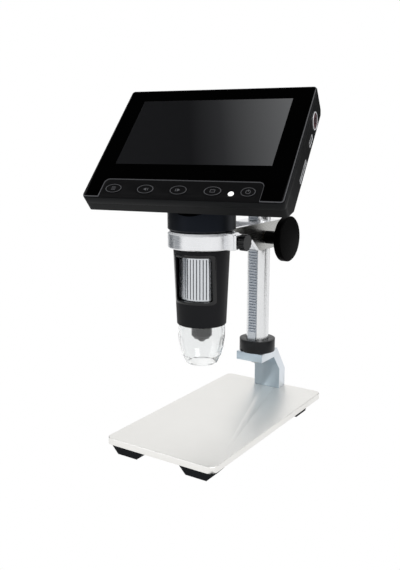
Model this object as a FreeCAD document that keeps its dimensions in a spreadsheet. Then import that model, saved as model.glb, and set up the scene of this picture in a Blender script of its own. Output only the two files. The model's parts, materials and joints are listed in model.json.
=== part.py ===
"""A desk microscope with its own display, on a rack-and-pinion stand.

Millimetres. The origin is the centre of the stage's top face, +Z up, and the object faces -Y.
"""
import FreeCAD, Part
import math
import os
import Sketcher
from FreeCAD import Placement, Rotation, Vector

SIZES = {
    # stage and feet
    "stage_w": 76.6, "stage_d": 143.5, "stage_t": 4.1, "stage_corner": 4.5,
    "foot_top": 22.6, "foot_low": 14.0, "foot_high": 4.5, "foot_w": 12.0,
    # column, its bracket and its collar
    "column_y": 46.2, "column_rad": 7.6, "column_top": 140.0,
    "bracket_w": 20.0, "bracket_top": 31.6, "bracket_t": 5.8, "wall_y": 61.5, "wall_t": 8.8,
    "collar_rad": 12.3, "collar_high": 8.4,
    "rack_w": 6.0, "rack_low": 46.0, "tooth_module": 0.6, "pinion_teeth": 10, "rack_addendum": 0.34,
    # carriage with its arm and clamp ring
    "arm_top": 122.4, "arm_low": 104.5, "ring_low": 112.8, "ring_rad": 20.2, "arm_half": 11.0,
    "arm_plate": 2.5, "arm_back": 57.6, "cheek_front": 29.5, "knob_z": 112.7,
    "knob_rad": 14.6, "knob_in": 24.1, "knob_out": 28.8, "hub_rad": 4.2, "shaft_rad": 1.5,
    "boss_out": 24.4, "thumb_in": 27.4, "thumb_out": 31.2, "thumb_rad": 4.8, "screw_rad": 2.45,
    # microscope body, turned in the clamp ring
    "axis_y": -24.6, "swivel": 10.95, "journal_rad": 17.2, "shell_low": 66.2, "shell_top": 122.5,
    "shell_low_rad": 15.0, "shell_top_rad": 16.95, "window_w": 24.4, "window_low": 81.0,
    "window_high": 109.2, "wheel_rad": 13.1, "wheel_low": 82.2, "wheel_top": 108.0,
    "cap_low": 41.5, "cap_rad": 14.35, "cap_tip_rad": 9.8, "nose_rad": 6.2, "nose_tip": 54.6,
    "neck_rad": 20.25, "neck_low": 122.5,
    # display: centre of the screen's face, lean from the vertical, outline
    "screen_y": 2.74, "screen_z": 179.9, "lean": 46.7,
    "case_w": 119.6, "case_up": 37.3, "case_down": 53.0, "case_t": 18.6, "case_corner": 2.2,
    "frame_t": 6.0, "glass_t": 1.0, "keypad_half": 47.6, "keypad_top": 39.3, "keypad_x": -1.3,
    "key_pitch": 20.1, "key_y": -46.2, "key_len": 10.2, "key_high": 6.6,
}
# centre of each foot, and its turn about the vertical
FOOT_PLACES = ((-21.6, -65.75, 0), (27.0, -65.75, 0), (29.0, 45.8, 90), (-29.0, 45.8, 90))

doc = FreeCAD.newDocument("lcd_microscope")
sheet = doc.addObject("Spreadsheet::Sheet", "sizes")
for row, (alias, size) in enumerate(SIZES.items(), start=1):
    sheet.set("A%d" % row, alias)
    sheet.set("B%d" % row, str(size))
    sheet.setAlias("B%d" % row, alias)
doc.recompute()


class Dim:
    """A length with its value and the sheet expression that it comes from."""

    def __init__(self, value, text):
        self.value = float(value)
        self.text = text

    def join(self, other, sign, turn=False):
        other = dim(other)
        first, second = (other, self) if turn else (self, other)
        results = {"+": first.value + second.value, "-": first.value - second.value,
                   "*": first.value * second.value}
        if sign == "/":
            return Dim(first.value / second.value, "(%s / %s)" % (first.text, second.text))
        return Dim(results[sign], "(%s %s %s)" % (first.text, sign, second.text))

    def __add__(self, other):
        return self.join(other, "+")

    def __radd__(self, other):
        return self.join(other, "+", True)

    def __sub__(self, other):
        return self.join(other, "-")

    def __rsub__(self, other):
        return self.join(other, "-", True)

    def __mul__(self, other):
        return self.join(other, "*")

    def __rmul__(self, other):
        return self.join(other, "*", True)

    def __truediv__(self, other):
        return self.join(other, "/")

    def __neg__(self):
        return self.join(-1, "*")


def dim(value):
    return value if isinstance(value, Dim) else Dim(value, "(%r)" % value)


def S(alias):
    return Dim(SIZES[alias], "sizes." + alias)


def bind(item, prop, value):
    value = dim(value)
    if "sizes." in value.text:
        item.setExpression(prop, value.text)
    else:
        setattr_path(item, prop, value.value)


def setattr_path(item, prop, value):
    if prop.startswith("Placement.Base."):
        place = item.Placement
        setattr(place.Base, prop[-1], value)
        item.Placement = place
    else:
        setattr(item, prop, value)


# Placements of the three groups of pieces.
STAND = Placement()
MICROSCOPE = Placement(Vector(0, SIZES["axis_y"], 0), Rotation(Vector(0, 0, 1), SIZES["swivel"]))
DISPLAY = MICROSCOPE.multiply(Placement(Vector(0, SIZES["screen_y"], SIZES["screen_z"]),
                                        Rotation(Vector(1, 0, 0), 90 - SIZES["lean"])))
nodes = {}


def finish(item, name, group=STAND):
    item.Label = name
    item.Placement = group.multiply(item.Placement)
    nodes[name] = item
    return item


count = [0]


def fresh(kind, stem="raw"):
    count[0] += 1
    return doc.addObject(kind, "%s_%d" % (stem, count[0]))


def box(x0, x1, y0, y1, z0, z1):
    item = fresh("Part::Box")
    bind(item, "Length", x1 - dim(x0))
    bind(item, "Width", y1 - dim(y0))
    bind(item, "Height", z1 - dim(z0))
    for letter, low in zip("xyz", (x0, y0, z0)):
        bind(item, "Placement.Base." + letter, low)
    return item


TURNS = {"z": Rotation(), "x": Rotation(Vector(0, 1, 0), 90), "y": Rotation(Vector(1, 0, 0), -90)}


def rod(radius, low, high, x=0, y=0, z=0, along="z"):
    """A cylinder from low to high along one axis; the coordinate on that axis is ignored."""
    item = fresh("Part::Cylinder")
    item.Placement = Placement(Vector(), TURNS[along])
    bind(item, "Radius", radius)
    bind(item, "Height", high - dim(low))
    start = {"x": x, "y": y, "z": z}
    start[along] = low
    for letter in "xyz":
        bind(item, "Placement.Base." + letter, start[letter])
    return item


def cut(base, *tools):
    item = fresh("Part::Cut")
    item.Base = base
    item.Tool = tools[0] if len(tools) == 1 else fuse(*tools)
    return item


def fuse(*items):
    item = fresh("Part::MultiFuse")
    item.Shapes = list(items)
    return item


def group_of(*items):
    item = fresh("Part::Compound")
    item.Links = list(items)
    return item


def rounded(base, radius, keep):
    """Fillet of the edges of base for which keep(edge) is true."""
    doc.recompute()
    item = fresh("Part::Fillet")
    item.Base = base
    numbers = [i for i, edge in enumerate(base.Shape.Edges, start=1) if keep(edge)]
    item.Edges = [(i, radius, radius) for i in numbers]
    return item


def runs_along(edge, letter):
    if not isinstance(edge.Curve, Part.Line):
        return False
    return abs(abs(getattr(edge.Curve.Direction, letter)) - 1) < 1e-6


def sketch(body, role, corners, offset=0):
    """A closed outline of straight lines on an origin plane of the body."""
    plane = [f for f in body.Origin.OriginFeatures if f.Role == role][0]
    item = body.newObject("Sketcher::SketchObject", body.Name + "_outline")
    item.AttachmentSupport = [(plane, "")]
    item.MapMode = "FlatFace"
    bind_offset(item, offset)
    corners = [(dim(a), dim(b)) for a, b in corners]
    size = len(corners)
    for i, (a, b) in enumerate(corners):
        c, d = corners[(i + 1) % size]
        item.addGeometry(Part.LineSegment(Vector(a.value, b.value, 0), Vector(c.value, d.value, 0)), False)
    for i in range(size):
        item.addConstraint(Sketcher.Constraint("Coincident", i, 2, (i + 1) % size, 1))
    for i, pair in enumerate(corners):
        for kind, value in zip(("DistanceX", "DistanceY"), pair):
            number = item.addConstraint(Sketcher.Constraint(kind, -1, 1, i, 1, value.value))
            if "sizes." in value.text:
                item.setExpression("Constraints[%d]" % number, value.text)
    return item


def bind_offset(item, offset):
    offset = dim(offset)
    item.AttachmentOffset = Placement(Vector(0, 0, offset.value), Rotation())
    if "sizes." in offset.text:
        item.setExpression("AttachmentOffset.Base.z", offset.text)


def turned(corners, stem="turned"):
    """A body of revolution about Z from (radius, height) corners."""
    body = fresh("PartDesign::Body", stem)
    outline = sketch(body, "XZ_Plane", corners)
    item = body.newObject("PartDesign::Revolution", body.Name + "_turn")
    item.Profile = outline
    item.ReferenceAxis = (outline, ["V_Axis"])
    item.Angle = 360
    return body


def plate(role, corners, length, offset=0, middle=False):
    """A padded outline; middle pads half the length to each side of the plane."""
    body = fresh("PartDesign::Body", "plate")
    outline = sketch(body, role, corners, offset)
    item = body.newObject("PartDesign::Pad", body.Name + "_pad")
    item.Profile = outline
    bind(item, "Length", length)
    item.Midplane = middle
    return body


def rectangle(x0, x1, y0, y1):
    return [(x0, y0), (x1, y0), (x1, y1), (x0, y1)]


def slot_bar(length, width, x, y, z0, z1):
    """A bar with rounded ends along X, such as an oval key."""
    end = width / 2
    reach = length / 2 - end
    middle = box(x - reach, x + reach, y - end, y + end, z0, z1)
    return fuse(middle, rod(end, z0, z1, x - reach, y), rod(end, z0, z1, x + reach, y))


def make_stage():
    half_w = S("stage_w") / 2
    half_d = S("stage_d") / 2
    raw = box(-half_w, half_w, -half_d, half_d, -S("stage_t"), 0)
    soft = rounded(raw, SIZES["stage_corner"], lambda edge: runs_along(edge, "z"))
    eased = rounded(soft, 0.5, lambda edge: abs(edge.BoundBox.ZMin) < 1e-6 and abs(edge.BoundBox.ZMax) < 1e-6)
    y = S("wall_y") + S("wall_t") / 2
    holes = []
    for x in (-5.5, 5.5):
        holes.append(rod(1.7, -S("stage_t"), 0, x, y))
        holes.append(rod(3.1, -S("stage_t"), 1.6 - S("stage_t"), x, y))
    finish(cut(eased, *holes), "stage_plate")
    feet = []
    for x, y, turn in FOOT_PLACES:
        foot = tapered_foot()
        foot.Placement = Placement(Vector(x, y, 0), Rotation(Vector(0, 0, 1), turn))
        feet.append(foot)
    finish(group_of(*feet), "rubber_feet")


def tapered_foot():
    """A pad that narrows towards the table at its two ends."""
    low = -(S("stage_t") + S("foot_high"))
    top = -S("stage_t")
    wide = S("foot_top") / 2
    slim = S("foot_low") / 2
    return plate("XZ_Plane", [(-slim, low), (slim, low), (wide, top), (-wide, top)], S("foot_w"), middle=True)


def make_column():
    half = S("bracket_w") / 2
    top = S("bracket_top")
    under = top - S("bracket_t")
    back = S("wall_y") + S("wall_t")
    outline = [(35.0, under), (52.6, under), (S("wall_y"), 14.7), (S("wall_y"), 0), (back, 0),
               (back, 13.4), (57.3, top), (35.0, top)]
    bracket = plate("YZ_Plane", outline, half * 2, middle=True)
    y = S("wall_y") + S("wall_t") / 2
    taps = [rod(1.5, 0, 10, x, y) for x in (-5.5, 5.5)]
    finish(cut(bracket, rod(2.6, under, top, 0, S("column_y")), *taps), "column_bracket")
    screws = []
    for x in (-5.5, 5.5):
        head = rod(2.9, 0.1 - S("stage_t"), 1.6 - S("stage_t"), x, y)
        screws.append(fuse(head, rod(1.5, 0.1 - S("stage_t"), 9.5, x, y)))
    finish(group_of(*screws), "bracket_screws")
    bolt = fuse(rod(4.2, under - 3, under, 0, S("column_y")), rod(2.45, under - 3, top + 12, 0, S("column_y")))
    finish(cut(bolt, rod(1.5, under - 3, under - 1.2, 0, S("column_y"))), "column_bolt")
    collar = cut(rod(S("collar_rad"), top, top + S("collar_high"), 0, S("column_y")),
                 rod(S("column_rad") + 0.03, top, top + S("collar_high"), 0, S("column_y")),
                 rod(1.5, S("column_y"), 60, 0, 0, top + 4.2, "y"))
    finish(collar, "column_collar")
    grub = rod(1.5, S("column_y") + S("column_rad") + 0.05, S("column_y") + S("collar_rad") - 0.2, 0, 0, top + 4.2, "y")
    finish(grub, "collar_grub_screw")
    tools = [rod(2.45, top, top + 12.5, 0, S("column_y")),
             box(-S("rack_w") / 2, S("rack_w") / 2, 37, S("column_y") - 5.1, top, S("column_top"))]
    for angle in (-18, 18, 162, 198):
        x = SIZES["column_rad"] * math.cos(math.radians(angle))
        y = SIZES["column_rad"] * math.sin(math.radians(angle))
        tools.append(rod(0.5, top, S("column_top"), x, S("column_y") + y))
    column = rod(S("column_rad"), top, S("column_top"), 0, S("column_y"))
    finish(cut(column, *tools), "column")
    cap = fuse(rod(S("column_rad"), S("column_top"), S("column_top") + 1.6, 0, S("column_y")),
               box(-2.9, 2.9, 38.2, 41, S("column_top") - 1.5, S("column_top") + 1.6))
    finish(cap, "column_cap")


def make_rack():
    """Straight teeth that mesh with the pinion, which stands in front of the column."""
    pitch = math.pi * SIZES["tooth_module"]
    pinion_y = SIZES["column_y"] - 8.2 - SIZES["tooth_module"] * SIZES["pinion_teeth"] / 2
    line_y = pinion_y + SIZES["tooth_module"] * SIZES["pinion_teeth"] / 2
    root_y = line_y + 0.75
    tip_y = line_y - SIZES["rack_addendum"]
    lean = math.tan(math.radians(20))
    half = pitch / 4 - 0.09
    root_half = half + 0.75 * lean
    tip_half = half - SIZES["rack_addendum"] * lean
    low = SIZES["bracket_top"] + SIZES["collar_high"]
    points = [(SIZES["column_y"] - 5.1, low), (tip_y, low), (tip_y, SIZES["rack_low"])]
    first = math.ceil((SIZES["rack_low"] + 1.2 - SIZES["knob_z"]) / pitch - 0.5)
    last = math.floor((SIZES["column_top"] - 3.2 - SIZES["knob_z"]) / pitch - 0.5)
    points.append((root_y, SIZES["rack_low"] + 0.2))
    for number in range(first, last + 1):
        z = SIZES["knob_z"] + (number + 0.5) * pitch
        points += [(root_y, z - root_half), (tip_y, z - tip_half), (tip_y, z + tip_half), (root_y, z + root_half)]
    top = SIZES["column_top"] - 1.6
    points += [(root_y, top), (SIZES["column_y"] - 5.1, top)]
    corners = [Vector(0, y, z) for y, z in points]
    wire = Part.makePolygon(corners + corners[:1])
    bar = Part.Face(wire).extrude(Vector(SIZES["rack_w"] - 0.02, 0, 0))
    bar.translate(Vector(-(SIZES["rack_w"] - 0.02) / 2, 0, 0))
    item = doc.addObject("Part::Feature", "rack_shape")
    item.Shape = bar
    finish(item, "gear_rack")


def involute_pinion():
    """Spur pinion with involute flanks, radial below the base circle."""
    module = SIZES["tooth_module"]
    teeth = int(SIZES["pinion_teeth"])
    pitch_r = module * teeth / 2
    base_r = pitch_r * math.cos(math.radians(20))
    tip_r = pitch_r + module * 0.95
    root_r = pitch_r - 0.5
    spread = math.tan(math.radians(20)) - math.radians(20)
    half = math.pi / (2 * teeth) - 0.03 + spread
    flank = []
    steps = 5
    for i in range(steps + 1):
        radius = base_r + (tip_r - base_r) * i / steps
        roll = math.sqrt((radius / base_r) ** 2 - 1)
        flank.append((radius, half - (roll - math.atan(roll))))
    points = []
    for tooth in range(teeth):
        middle = 2 * math.pi * tooth / teeth
        side = [(root_r, half)] + flank
        for radius, angle in [(r, -a) for r, a in side] + side[::-1]:
            points.append(Vector(0, radius * math.cos(middle + angle), radius * math.sin(middle + angle)))
    face = Part.Face(Part.makePolygon(points + points[:1]))
    width = SIZES["rack_w"]
    wheel = face.extrude(Vector(width, 0, 0))
    pinion_y = SIZES["column_y"] - 8.2 - pitch_r
    wheel.translate(Vector(-width / 2, pinion_y, SIZES["knob_z"]))
    bore = Part.makeCylinder(SIZES["shaft_rad"], width, Vector(-width / 2, pinion_y, SIZES["knob_z"]),
                             Vector(1, 0, 0))
    item = doc.addObject("Part::Feature", "pinion_shape")
    item.Shape = wheel.cut(bore)
    finish(item, "drive_pinion")


def make_carriage():
    top = S("arm_top")
    half = S("arm_half")
    pinion_y = S("column_y") - 8.2 - S("tooth_module") * S("pinion_teeth") / 2
    knob_z = S("knob_z")
    side = [(-12, S("ring_low")), (17.5, S("ring_low")), (27.5, S("arm_low")), (S("arm_back"), S("arm_low")),
            (S("arm_back"), top), (-12, top)]
    cheek = plate("YZ_Plane", side, half * 2, middle=True)
    gap = box(S("arm_plate") - half, half - S("arm_plate"), -20, S("cheek_front"), 100, 130)
    ring = turned([(12, S("ring_low")), (S("ring_rad") - 0.6, S("ring_low")), (S("ring_rad"), S("ring_low") + 0.6),
                   (S("ring_rad"), top - 1.3), (S("ring_rad") - 1.3, top), (12, top)], "ring")
    bind(ring, "Placement.Base.y", S("axis_y"))
    boss = box(14, S("boss_out"), S("axis_y") - 4.2, S("axis_y") + 4.2, S("ring_low"), top)
    soft_boss = rounded(boss, 2.2, lambda edge: runs_along(edge, "y") and edge.BoundBox.XMin > 20
                        and edge.BoundBox.ZMin > 120)
    body = fuse(cut(cheek, gap), ring, soft_boss)
    tools = [
        rod(S("journal_rad") + 0.08, 100, 130, 0, S("axis_y")),
        rod(S("screw_rad") + 0.06, 10, 30, 0, S("axis_y"), 117.5, "x"),
        rod(S("column_rad") + 0.06, 100, 130, 0, S("column_y")),
        box(-3.2, 3.2, 37.1, S("column_y"), 100, 130),
        box(-3.3, 3.3, pinion_y - 3.95, S("column_y") - 4, knob_z - 4.2, knob_z + 4.2),
        rod(2.5, -12, 12, 0, pinion_y, knob_z, "x"),
        rod(1.5, S("column_y"), 60, 0, 0, knob_z, "y"),
    ]
    finish(cut(body, *tools), "focus_arm")
    for name, x0, x1 in (("pinion_bush_right", 3.35, 11.2), ("pinion_bush_left", -11.2, -3.35)):
        ring = cut(rod(2.5, x0, x1, 0, pinion_y, knob_z, "x"),
                   rod(S("shaft_rad") + 0.05, x0, x1, 0, pinion_y, knob_z, "x"))
        finish(ring, name)
    drag = fuse(rod(1.45, S("column_y") + S("column_rad") + 0.1, 57, 0, 0, knob_z, "y"),
                rod(3.0, S("arm_back"), S("arm_back") + 2.6, 0, 0, knob_z, "y"),
                rod(1.45, 56.9, S("arm_back") + 1, 0, 0, knob_z, "y"))
    finish(drag, "drag_screw")
    involute_pinion()
    shaft = rod(S("shaft_rad"), -12.6, 25.6, 0, pinion_y, knob_z, "x")
    groove = cut(rod(1.6, -12.2, -11.6, 0, pinion_y, knob_z, "x"), rod(1.1, -12.2, -11.6, 0, pinion_y, knob_z, "x"))
    finish(cut(shaft, groove), "pinion_shaft")
    clip = cut(rod(2.6, -12.2, -11.6, 0, pinion_y, knob_z, "x"), rod(1.1, -12.2, -11.6, 0, pinion_y, knob_z, "x"))
    finish(clip, "shaft_clip")
    rim_in = S("knob_in")
    rim_out = S("knob_out")
    knob = turned([(S("shaft_rad"), 11.5), (S("hub_rad") - 0.3, 11.5), (S("hub_rad"), 11.8),
                   (S("hub_rad"), rim_in), (S("knob_rad") - 0.6, rim_in), (S("knob_rad"), rim_in + 0.6),
                   (S("knob_rad"), rim_out - 0.6), (S("knob_rad") - 0.6, rim_out),
                   (0, rim_out), (0, 25.7), (S("shaft_rad"), 25.7)], "knob")
    knob.Placement = Placement(Vector(0, pinion_y.value, knob_z.value), TURNS["x"])
    grub = rod(1.0, S("shaft_rad"), S("hub_rad") - 0.1, 18, pinion_y, 0, "z")
    bind(grub, "Placement.Base.z", knob_z + S("shaft_rad"))
    hole = rod(1.0, S("shaft_rad") - 0.3, S("hub_rad") + 1, 18, pinion_y, 0, "z")
    bind(hole, "Placement.Base.z", knob_z + S("shaft_rad") - 0.1)
    finish(cut(knob, hole), "focus_knob")
    finish(grub, "knob_grub_screw")
    make_clamp()


def make_clamp():
    z = 117.5
    shank = rod(S("screw_rad"), 19.05, S("thumb_in"), 0, S("axis_y"), z, "x")
    head = rod(S("thumb_rad"), S("thumb_in"), S("thumb_out"), 0, S("axis_y"), z, "x")
    flutes = []
    for number in range(14):
        angle = math.radians(360 / 14 * number)
        reach = SIZES["thumb_rad"] + 0.15
        flutes.append(rod(0.6, S("thumb_in"), S("thumb_out"), 0,
                          S("axis_y") + reach * math.cos(angle), z + reach * math.sin(angle), "x"))
    finish(fuse(shank, cut(head, *flutes)), "clamp_thumb_screw")
    finish(rod(S("screw_rad"), 17.3, 19.0, 0, S("axis_y"), z, "x"), "clamp_tip_pad")


def make_barrel():
    low = S("shell_low")
    outer = [(S("shell_low_rad") - 0.4, low), (S("shell_low_rad"), low + 0.4), (S("shell_top_rad"), 112.3),
             (S("journal_rad"), 112.3), (S("journal_rad"), S("shell_top"))]
    inner = [(12, S("shell_top")), (12, 120.5), (15.3, 120.5), (15.3, 111.6), (14.45, 110.4), (14.45, 80),
             (13.5, 78), (13.5, low)]
    shell = turned(outer + inner, "barrel")
    window = box(-S("window_w") / 2, S("window_w") / 2, -25, 25, S("window_low"), S("window_high"))
    soft = rounded(window, 2.0, lambda edge: runs_along(edge, "y"))
    holes = [rod(1.05, 120, 130, x, y) for x, y in neck_screw_places()]
    finish(cut(shell, soft, *holes), "barrel_shell", MICROSCOPE)
    wheel = turned([(11.2, S("wheel_low")), (S("wheel_rad") - 0.5, S("wheel_low")),
                    (S("wheel_rad"), S("wheel_low") + 0.5), (S("wheel_rad"), S("wheel_top") - 0.5),
                    (S("wheel_rad") - 0.5, S("wheel_top")), (11.2, S("wheel_top"))], "wheel")
    plane = [f for f in wheel.Origin.OriginFeatures if f.Role == "XY_Plane"][0]
    mark = wheel.newObject("Sketcher::SketchObject", "flute_outline")
    mark.AttachmentSupport = [(plane, "")]
    mark.MapMode = "FlatFace"
    bind_offset(mark, S("wheel_top") - 1.2)
    mark.addGeometry(Part.Circle(Vector(SIZES["wheel_rad"] + 0.25, 0, 0), Vector(0, 0, 1), 0.75), False)
    flute = wheel.newObject("PartDesign::Pocket", "flute")
    flute.Profile = mark
    bind(flute, "Length", S("wheel_top") - S("wheel_low") - 2.4)
    doc.recompute()
    flutes = wheel.newObject("PartDesign::PolarPattern", "flutes")
    flutes.Originals = [flute]
    flutes.Axis = (mark, ["N_Axis"])
    flutes.Angle = 360
    flutes.Occurrences = 40
    wheel.Tip = flutes
    finish(wheel, "focus_wheel", MICROSCOPE)
    tube = fuse(rod(11.12, 72, 113.1), rod(12.9, 80.9, 82.1), rod(14.9, 111.7, 113.1))
    finish(cut(tube, rod(9.85, 72, 113.1), box(-1.1, 1.1, 5, 12, 84, 102)), "lens_sleeve", MICROSCOPE)
    finish(cut(rod(12.9, 108.1, 109.3), rod(11.15, 108.1, 109.3)), "wheel_retainer", MICROSCOPE)
    carrier = cut(rod(9.8, 86, 100), rod(6.2, 86, 90), rod(7.6, 90, 100))
    finish(fuse(carrier, rod(0.9, 8, 11.05, 0, 0, 93, "y")), "lens_carrier", MICROSCOPE)
    finish(rod(6.2, 87, 89.4), "focusing_lens", MICROSCOPE)
    finish(fuse(rod(13.0, 115.7, 117.3), box(-4, 4, -4, 4, 117.3, 119.1)), "sensor_board", MICROSCOPE)
    finish(box(-3.4, 3.4, -3.4, 3.4, 114.5, 115.7), "image_sensor", MICROSCOPE)
    spacer = cut(rod(15.2, 113.2, 115.6), rod(12.4, 113.2, 115.6))
    finish(spacer, "sensor_spacer", MICROSCOPE)


def make_tip():
    ring = cut(rod(13.4, 70.6, 71.9), rod(5.4, 70.6, 71.9))
    finish(ring, "led_board", MICROSCOPE)
    lamps = []
    for number in range(8):
        angle = math.radians(45 * number + 22.5)
        lamps.append(rod(1.5, 68.2, 70.6, 9.6 * math.cos(angle), 9.6 * math.sin(angle)))
    finish(group_of(*lamps), "illumination_leds", MICROSCOPE)
    tip = S("nose_tip")
    nose = [(1.0, tip), (1.5, tip), (S("nose_rad"), tip + 4.4), (S("nose_rad"), 70.55), (4.9, 70.55),
            (4.9, tip + 5.4)]
    finish(turned(nose, "nose"), "lens_nose", MICROSCOPE)
    finish(rod(4.9, 62, 64.4), "objective_lens", MICROSCOPE)
    low = S("cap_low")
    wide = S("cap_rad")
    outer = [(S("cap_tip_rad") - 0.8, low), (S("cap_tip_rad"), low + 0.6), (11.9, low + 5.2), (13.3, low + 10.2),
             (14.1, low + 15.2), (wide, low + 19), (wide, S("shell_low") - 0.02), (13.45, S("shell_low") - 0.02),
             (13.45, 70.5)]
    inner = [(12.3, 70.5), (12.9, low + 18), (12.6, low + 15), (11.9, low + 10.6), (10.6, low + 5.6),
             (S("cap_tip_rad") - 1.3, low + 1.2), (S("cap_tip_rad") - 1.3, low)]
    finish(turned(outer + inner, "cap"), "clear_cap", MICROSCOPE)


def make_neck():
    low = S("neck_low")
    tube = turned([(12, low), (S("neck_rad") - 1.7, low), (S("neck_rad"), low + 1.6), (S("neck_rad"), 178),
                   (S("neck_rad") - 2, 178), (S("neck_rad") - 2, low + 2.4), (12, low + 2.4)], "neck")
    above = box(-80, 80, -80, 80, 0, 80)
    above.Placement = Placement(Vector(0, SIZES["screen_y"], SIZES["screen_z"]),
                                Rotation(Vector(1, 0, 0), 90 - SIZES["lean"])).multiply(
        Placement(Vector(-80, -80, -SIZES["case_t"]), Rotation()))
    bind(above, "Height", 80)
    holes = [rod(1.1, low, low + 2.4, x, y) for x, y in neck_screw_places()]
    finish(cut(tube, above, *holes), "neck_housing", MICROSCOPE)
    screws = []
    for x, y in neck_screw_places():
        screws.append(fuse(rod(1.05, 120.6, low + 2.4, x, y), rod(1.9, low + 2.4, low + 3.8, x, y)))
    finish(group_of(*screws), "neck_screws", MICROSCOPE)
    finish(box(-5, 5, -0.15, 0.15, 119.15, 165.4), "sensor_ribbon", MICROSCOPE)


def neck_screw_places():
    return [(14.6 * math.cos(math.radians(a)), 14.6 * math.sin(math.radians(a))) for a in (90, 210, 330)]


def case_slab(z0, z1, inset=0):
    half = S("case_w") / 2 - inset
    raw = box(-half, half, inset - S("case_down"), S("case_up") - inset, z0, z1)
    return rounded(raw, SIZES["case_corner"] - inset, lambda edge: runs_along(edge, "z"))


def key_places():
    for number in (-2, -1, 0, 1):
        yield "button_%d" % (number + 3), S("keypad_x") + S("key_pitch") * number, S("key_len"), S("key_high")
    yield "power_button", S("keypad_x") + S("key_pitch") * 2, S("key_high") + 1.9, S("key_high")


def make_display():
    half = S("case_w") / 2
    front = -S("glass_t")
    seam = -S("frame_t")
    wall = 2.0
    # rear shell: side outline padded across, with its corners rounded and its inside cut out
    up = S("case_up")
    down = -S("case_down")
    back = -S("case_t")
    side = [(down, seam), (down, -11.5), (down + 10.5, back), (up - 3.8, back), (up, back + 5), (up, seam)]
    raw = plate("YZ_Plane", side, half * 2, middle=True)
    trimmed = fresh("Part::Common")
    trimmed.Base = raw
    trimmed.Tool = case_slab(back, seam)
    cavity = plate("YZ_Plane", [(down + wall, seam), (down + wall, -10.4), (down + 11.2, back + wall),
                                (up - 4.6, back + wall), (up - wall, back + 5.6), (up - wall, seam)],
                   (half - wall) * 2, middle=True)
    holes = [rod(5.4, half - 3, half, 0, 21, -11.8, "x"),
             box(half - 3, half, 3.2, 10.8, -15.6, -12.8),
             box(half - 3, half, -24.0, -8.0, -16.4, -14.4),
             rod(10, back, back + wall, 0, -21.3)]
    for x, y in shell_screw_places():
        holes.append(rod(1.3, back, back + wall, x, y))
    finish(cut(trimmed, cavity, *holes), "rear_shell", DISPLAY)
    screws = [fuse(rod(2.1, back - 0.6, back, x, y), rod(1.0, back - 0.6, back + 9, x, y))
              for x, y in shell_screw_places()]
    finish(group_of(*screws), "shell_screws", DISPLAY)
    # front frame round the screen, with the keypad strip below it
    key_holes = [slot_bar(length + 0.5, high + 0.5, x, S("key_y"), seam, 0.5) for _, x, length, high in key_places()]
    lamp_hole = rod(1.7, seam, 0.5, 29.7, -47.8)
    screen_hole = box(-52.9, 52.9, -32.2, 32.2, seam, 0.5)
    board_room = box(-56, 56, -50.8, 34, seam, -4.6)
    plain = cut(case_slab(seam, front), screen_hole, lamp_hole, board_room, *key_holes)
    posts = [cut(rod(2.1, back + wall + 0.05, -4.5, x, y), rod(1.0, back + wall, back + 9.5, x, y))
             for x, y in shell_screw_places()]
    finish(fuse(plain, *posts), "front_frame", DISPLAY)
    left = S("keypad_x") - S("keypad_half")
    right = S("keypad_x") + S("keypad_half")
    notch = box(left, right, -60, -S("keypad_top"), -2, 2)
    soft_notch = rounded(notch, 3.0, lambda edge: runs_along(edge, "z"))
    finish(cut(case_slab(front, 0, 0.3), soft_notch), "front_glass", DISPLAY)
    strip_raw = box(left + 0.15, right - 0.15, 0.3 - S("case_down"), -S("keypad_top") - 0.15, front, -0.15)
    strip = rounded(strip_raw, 2.9, lambda edge: runs_along(edge, "z") and edge.BoundBox.YMax > -45)
    key_holes = [slot_bar(length + 0.3, high + 0.3, x, S("key_y"), seam, 0.5) for _, x, length, high in key_places()]
    finish(cut(strip, rod(1.7, seam, 0.5, 29.7, -47.8), *key_holes), "keypad_strip", DISPLAY)
    for name, x, length, high in key_places():
        key = slot_bar(length, high, x, S("key_y"), -5.1, -0.05)
        finish(fuse(key, slot_bar(length + 1.8, high + 1.8, x, S("key_y"), -5.1, -4.65)), name, DISPLAY)
    finish(rod(1.6, -4.6, -0.05, 29.7, -47.8), "status_led", DISPLAY)
    finish(box(-52.7, 52.7, -32.0, 32.0, -4.4, front - 0.02), "screen_panel", DISPLAY)
    finish(box(-48, 48, -40, 30, -8.2, -6.7), "main_board", DISPLAY)
    finish(box(-46, 46, -49.5, -42.5, -7.2, -5.65), "key_board", DISPLAY)
    finish(box(-31, 31, -6, 29, -15.8, -9.2), "battery_pack", DISPLAY)
    jack = cut(fuse(rod(4.1, half - 9, half, 0, 21, -11.8, "x"), rod(5.35, half - 2, half + 0.1, 0, 21, -11.8, "x")),
               rod(2.8, half - 7, half + 0.1, 0, 21, -11.8, "x"))
    pin = rod(0.8, half - 7.5, half - 1, 0, 21, -11.8, "x")
    finish(fuse(jack, pin), "power_jack", DISPLAY)
    usb = cut(box(half - 6, half, 3.3, 10.7, -15.5, -12.9), box(half - 5, half, 3.7, 10.3, -15.1, -13.3))
    finish(usb, "usb_port", DISPLAY)
    card = cut(box(half - 14, half, -23.9, -8.1, -16.35, -14.45), box(half - 13, half, -23.3, -8.7, -15.9, -14.9))
    finish(card, "card_slot", DISPLAY)


def shell_screw_places():
    return [(x, y) for x in (-55.5, 55.5) for y in (-37, 29)]


make_stage()
make_column()
make_rack()
make_carriage()
make_barrel()
make_tip()
make_neck()
make_display()
doc.recompute()

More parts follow.
